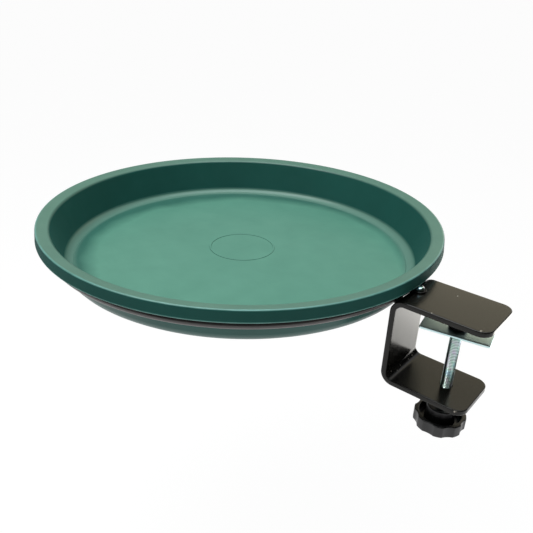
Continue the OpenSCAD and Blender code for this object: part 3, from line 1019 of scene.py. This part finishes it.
def screw_shapes():
    """The clamp screw: its thread, a hexagon head below and a plain journal above."""
    flats = hexagon(HEX_AF, HEX_STEPS)
    crown = HEX_AF / 2 * HEAD_CROWN
    low = screw_low[2]
    head_rows = [
        (0, low),
        (0.5 * crown, low),
        (crown, low),
        (flats, low + (flats - crown) * HEX_CHAMFER),
        (flats, head_top),
        (SCREW_R, head_top),
        (0, head_top),
    ]
    sunk_z = shoulder_z - THREAD_SINK
    journal = rounded_path(
        [
            (0, sunk_z, 0),
            (JOURNAL_R, sunk_z, 0),
            (JOURNAL_R, screw_high[2], JOURNAL_EDGE),
            (0, screw_high[2], 0),
        ]
    )
    return [thread_shape(), carried_rows(head_rows, HEX_STEPS), turned(journal, SCREW_STEPS)]


def knob_shape():
    """The knob: a fluted cup round a hub, with a hexagon recess in its face.

    The closed section is carried round the screw. Outside the cup's wall the radius is cut
    back where the circles of the flutes reach in: a flute's circle, centred c from the axis, is
    met at c cos(d) minus the root of its radius squared less c sin(d) squared, d being the angle
    from the flute's middle. The cut fades to nothing at the cup's inner wall.
    """
    angle = turn_angles(KNOB_STEPS)
    full_r = (knob_high[1] - knob_low[1]) / 2
    reach = full_r + LOBE_CUT_R - LOBE_CUT
    from_flute = (angle + math.pi / LOBES) % (TURN / LOBES) - math.pi / LOBES
    inside = np.maximum(LOBE_CUT_R**2 - (reach * np.sin(from_flute)) ** 2, 0)
    cut = np.maximum(full_r - (reach * np.cos(from_flute) - np.sqrt(inside)), 0)
    cut = np.where(inside > 0, cut, 0)
    rim_in = full_r - LOBE_CUT - RIM_T
    face_z, hub_top = knob_low[2], knob_high[2]
    rim_top = hub_top - HUB_RISE
    cup_z = face_z + FACE_T
    flat_r = HEX_AF / 2
    path = rounded_path(
        [
            (SCREW_R, head_top, 0),
            (flat_r, head_top, 0),
            (flat_r, face_z, KNOB_HOLE_EDGE),
            (full_r, face_z, KNOB_ROUND),
            (full_r, rim_top, KNOB_EDGE),
            (rim_in, rim_top, KNOB_EDGE),
            (rim_in, cup_z, KNOB_EDGE),
            (HUB_R, cup_z, KNOB_EDGE),
            (HUB_R, hub_top, KNOB_EDGE),
            (SCREW_R, hub_top, KNOB_HOLE_EDGE),
        ],
        closed=True,
    )
    base, height = path[:, :1], path[:, 1:]
    fade = np.clip((base - rim_in) / (full_r - rim_in), 0, 1)
    in_recess = (np.abs(base - flat_r) < RECESS_BAND) & (height < head_top + RECESS_BAND)
    widen = np.where(in_recess, hexagon(HEX_AF, KNOB_STEPS) - flat_r, 0)
    return carried_round(base - cut * fade + widen, height, KNOB_STEPS, closed=True)


def plate_shape():
    """The pressure plate: a rectangle with small round corners, turned on the screw.

    Its outline's radius at an angle is the smaller of the half length over the cosine and the
    half width over the sine. Near a corner it is where the corner's own circle is met.
    """
    angle = turn_angles(PLATE_STEPS) - PLATE_TURN
    cosine, sine = np.abs(np.cos(angle)), np.abs(np.sin(angle))
    half_l, half_w = PLATE_L / 2, PLATE_W / 2
    straight = np.minimum(half_l / np.maximum(cosine, TINY), half_w / np.maximum(sine, TINY))
    corner_x, corner_y = half_l - PLATE_CORNER_R, half_w - PLATE_CORNER_R
    forward = corner_x * cosine + corner_y * sine
    inside = forward**2 - corner_x**2 - corner_y**2 + PLATE_CORNER_R**2
    rounded = forward + np.sqrt(np.maximum(inside, 0))
    at_corner = (straight * cosine > corner_x) & (straight * sine > corner_y)
    outline = np.where(at_corner, rounded, straight)
    return flat_plate(outline, JOURNAL_R + HOLE_PLAY, plate_low[2], plate_high[2], PLATE_EDGE)


def washer_shape():
    """The thrust washer: a small round plate."""
    outline = np.full(SMALL_STEPS, washer_high[0])
    return flat_plate(outline, JOURNAL_R + HOLE_PLAY, washer_low[2], washer_high[2], WASHER_EDGE)


def cap_shape():
    """The domed cap: a section, hollow from below, turned about the screw."""
    cap_r = cap_high[0]
    low, high = cap_low[2], cap_high[2]
    path = rounded_path(
        [
            (0, high - CAP_ROOF, 0),
            (JOURNAL_R, high - CAP_ROOF, 0),
            (JOURNAL_R, low, CAP_MOUTH),
            (cap_r, low, CAP_EDGE),
            (cap_r, high, CAP_ROUND),
            (0, high, 0),
        ]
    )
    return turned(path, SMALL_STEPS)


green = green_plastic()
coat = black_coat("gloss_coat", GLOSS_BLACK, roughness=(0.19, 0.25), gloss=0.29, chips_and_glints=CHIPS_AND_GLINTS)
# The ring rod's coat is paler partly as a painted reflection of the floor
rod_coat = black_coat("satin_coat_and_sheen", SATIN_BLACK_AND_SHEEN, roughness=(0.30, 0.40), gloss=0.8)
zinc = zinc_plate("bright_zinc", RAINBOW, patches=130, roughness=(0.16, 0.25))
screw_zinc = zinc_plate("screw_zinc", PALE_RAINBOW, 200, (0.14, 0.22), ROOT_SHADE_AND_GREASE)
plate_zinc = zinc_plate("plate_zinc", SEA_GREEN, patches=60, roughness=(0.32, 0.42))
black = knob_plastic()

basin = make_piece("basin_shell", [basin_shape()], "bath", "basin", green)
mark_facing(basin)
make_piece("ring_rod", [rod_shape()], "mount", "support_ring", rod_coat)
make_piece("tongue_plate", [tongue_shape()], "mount", "ring_tongue", coat)
make_piece("ring_bead", [ring_bead()], "mount", "ring_weld", coat)
make_piece("shoulder_pads", shoulder_pads(), "mount", "ring_pads", coat)
make_piece("button_bolt", [bolt_shape()], "mount", "ring_bolt", zinc, sharp=30)
make_piece("strap", strap_shape(), "mount", "clamp_frame", coat)
make_piece("weld_nut", [nut_shape()], "mount", "jaw_nut", coat, sharp=25)
make_piece("nut_beads", nut_beads(), "mount", "nut_welds", coat)
make_piece("threaded_screw", screw_shapes(), "screw", "clamp_screw", screw_zinc, sharp=28)
make_piece("fluted_knob", [knob_shape()], "screw", "knob", black)
make_piece("washer", [washer_shape()], "carrier", "thrust_washer", zinc)
make_piece("swivel_plate", [plate_shape()], "plate", "pressure_plate", plate_zinc)
make_piece("domed_cap", [cap_shape()], "screw", "retaining_cap", black)


# The camera stands where the photograph was taken from, with its lens worked out for a frame of 533
# by 533 pixels
FRAME_PX = 533
FOCAL_PX = 592.6
SENSOR_MM = 36
CAMERA_FROM_RIM = (310.44, -351.61, 177.65)
CAMERA_HEADING = math.radians(128.774)
CAMERA_TILT = math.radians(-26.025)
CAMERA_ROLL = math.radians(2.492)

camera_data = bpy.data.cameras.new("camera")
camera_data.sensor_width = SENSOR_MM
camera_data.lens = FOCAL_PX / FRAME_PX * SENSOR_MM
camera_data.clip_start = 0.01
camera_data.clip_end = 400
camera = new_object("camera", camera_data)
bpy.context.scene.camera = camera
level_ahead = np.array([math.cos(CAMERA_HEADING), math.sin(CAMERA_HEADING), 0])
forward = math.cos(CAMERA_TILT) * level_ahead + math.sin(CAMERA_TILT) * UP
level_right = np.array([math.sin(CAMERA_HEADING), -math.cos(CAMERA_HEADING), 0])
level_up = np.cross(level_right, forward)
right = math.cos(CAMERA_ROLL) * level_right + math.sin(CAMERA_ROLL) * level_up
camera_place = np.eye(4)
camera_place[:3, 0] = right
camera_place[:3, 1] = np.cross(right, forward)
camera_place[:3, 2] = -forward
camera_place[:3, 3] = (np.array([*basin_axis, rim_z]) + CAMERA_FROM_RIM) * MM
camera.matrix_world = Matrix(camera_place.tolist())


LAMP_AIM = (-0.18, 0, 0)


def soft_lamp(name, place, size, watts, colour=(1, 1, 1)):
    """A square lamp, in metres, that faces the basin. The camera doesn't see it."""
    lamp = bpy.data.lights.new(name, "AREA")
    lamp.size = size
    lamp.energy = watts
    lamp.color = colour
    holder = new_object(name, lamp)
    way = Vector(LAMP_AIM) - Vector(place)
    turn = way.to_track_quat("-Z", "Y").to_matrix().to_4x4()
    holder.matrix_world = Matrix.Translation(place) @ turn
    holder.visible_camera = False


soft_lamp("overhead", (-0.18, 0, 1.1), size=1.0, watts=7.9, colour=(0.93, 0.98, 1.0))
soft_lamp("left_high", (-0.5, -0.44, 0.95), size=0.6, watts=6.0)

# The world and the floor are white as a background, and less as light on the object
WORLD_LIGHT = 0.03
FLOOR_TONE = (0.08, 0.08, 0.08, 1)
FLOOR_LIGHT = 0.9
FLOOR_WHITE = 0.97
FLOOR_HALF = 100
FLOOR_DROP = 0.3
SCREEN_POINTS = 45

world = bpy.data.worlds.new("studio")
bpy.context.scene.world = world
world.use_nodes = True
world.cycles.sampling_method = "NONE"
studio = Nodes(world.node_tree)
sky_light = studio.spread(studio.shows_background(), WORLD_LIGHT, 1.0)
sky = studio.add("ShaderNodeBackground", {"Color": (1, 1, 1, 1), "Strength": sky_light})
studio.add("ShaderNodeOutputWorld", {"Surface": sky.outputs[0]})


def stage_sheet(name, points, faces, material):
    """A sheet that belongs to the stage."""
    mesh = bpy.data.meshes.new(name)
    mesh.from_pydata(points.tolist(), [], faces.tolist())
    mesh.materials.append(material)
    sheet = new_object(name, mesh)
    return sheet


def rectangle(corner, first_side, second_side):
    """A flat sheet's points, from a corner and the two sides that leave it, and its face."""
    shares = np.array([(0, 0), (1, 0), (1, 1), (0, 1)])
    return np.array(corner) + shares @ np.array([first_side, second_side]), np.array([(0, 1, 2, 3)])


pale = Finish("pale_floor")
pale.material.cycles.emission_sampling = "NONE"
lit = pale.add("ShaderNodeBsdfDiffuse", {"Color": FLOOR_TONE})
floor_light = pale.spread(pale.shows_background(), FLOOR_LIGHT, FLOOR_WHITE)
glow = pale.add("ShaderNodeEmission", {"Strength": floor_light})
both = pale.add("ShaderNodeAddShader", {0: lit.outputs[0], 1: glow.outputs[0]})
pale.add("ShaderNodeOutputMaterial", {"Surface": both.outputs[0]})
floor_corner = (-FLOOR_HALF, -FLOOR_HALF, cad_low[2] - FLOOR_DROP)
floor_sheet = rectangle(floor_corner, (2 * FLOOR_HALF, 0, 0), (0, 2 * FLOOR_HALF, 0))
stage_sheet("floor", *floor_sheet, pale.material)


def gloss_sheet(name, points, faces, material):
    """A stage sheet that only gloss shows."""
    sheet = stage_sheet(name, points, faces, material)
    sheet.visible_camera = False
    sheet.visible_diffuse = False
    sheet.visible_transmission = False
    sheet.visible_shadow = False


def screen(name, bearing, half_turn, radius, low, high, material):
    """A strip of an upright cylinder round the basin, half_turn degrees either side of a bearing."""
    angle = bearing + math.radians(half_turn) * np.linspace(-1, 1, SCREEN_POINTS)
    edge = np.stack([np.cos(angle) * radius, np.sin(angle) * radius, 0 * angle], 1)
    edge += [*basin_axis * MM, 0]
    points = np.concatenate([edge + (0, 0, low), edge + (0, 0, high)])
    gloss_sheet(name, points, grid_faces(2, len(angle), wrap_columns=False), material)


def glowing(name, colour, low, high, span=(0, 1)):
    """A card that glows with a strength from low to high over a span of heights."""
    finish = Finish(name)
    finish.material.cycles.emission_sampling = "NONE"
    strength = finish.spread(finish.height(), low, high, *span)
    light = finish.add("ShaderNodeEmission", {"Color": (*colour, 1), "Strength": strength})
    finish.add("ShaderNodeOutputMaterial", {"Surface": light.outputs[0]})
    return finish.material


# Dark cloth hangs round the camera's side
cloth = glowing("dark_cloth", (1, 1, 1), 0.02, 0.02)
camera_side = CAMERA_HEADING + math.pi
screen("cloth", camera_side, half_turn=110, radius=0.75, low=-0.2, high=0.9, material=cloth)
# A pale card stands behind the basin and a warm one behind the jaws
pale_card = glowing("pale_card", (1, 0.96, 0.88), 0.3, 0.3)
behind_basin = CAMERA_HEADING + math.radians(20)
screen("back_card", behind_basin, half_turn=44, radius=0.95, low=0.02, high=0.9, material=pale_card)
warm_card = glowing("warm_card", (1, 0.91, 0.68), 1.4, 1.1, span=(0.3, 0.6))
behind_jaws = CAMERA_HEADING - math.radians(36)
screen("jaw_card", behind_jaws, half_turn=12, radius=0.95, low=0.02, high=0.9, material=warm_card)
# A cool card hangs under the overhead lamp and shows in the fillet and in rounded edges
cool_card = glowing("cool_card", (0.9, 0.97, 1), 4.5, 4.5)
gloss_sheet("high_card", *rectangle((-0.58, -0.4, 1.05), (0, 0.8, 0), (0.8, 0, 0)), cool_card)
# A small bright card low behind the clamp shows in its web and in the ends of its jaws
cream_card = glowing("cream_card", (1, 0.98, 0.93), 2.2, 4.6, span=(-0.30, -0.238))
gloss_sheet("low_card", *rectangle((-0.1, 0.42, -0.34), (0.42, 0, 0), (0, 0, 0.22)), cream_card)

bpy.context.scene.view_settings.view_transform = "Standard"
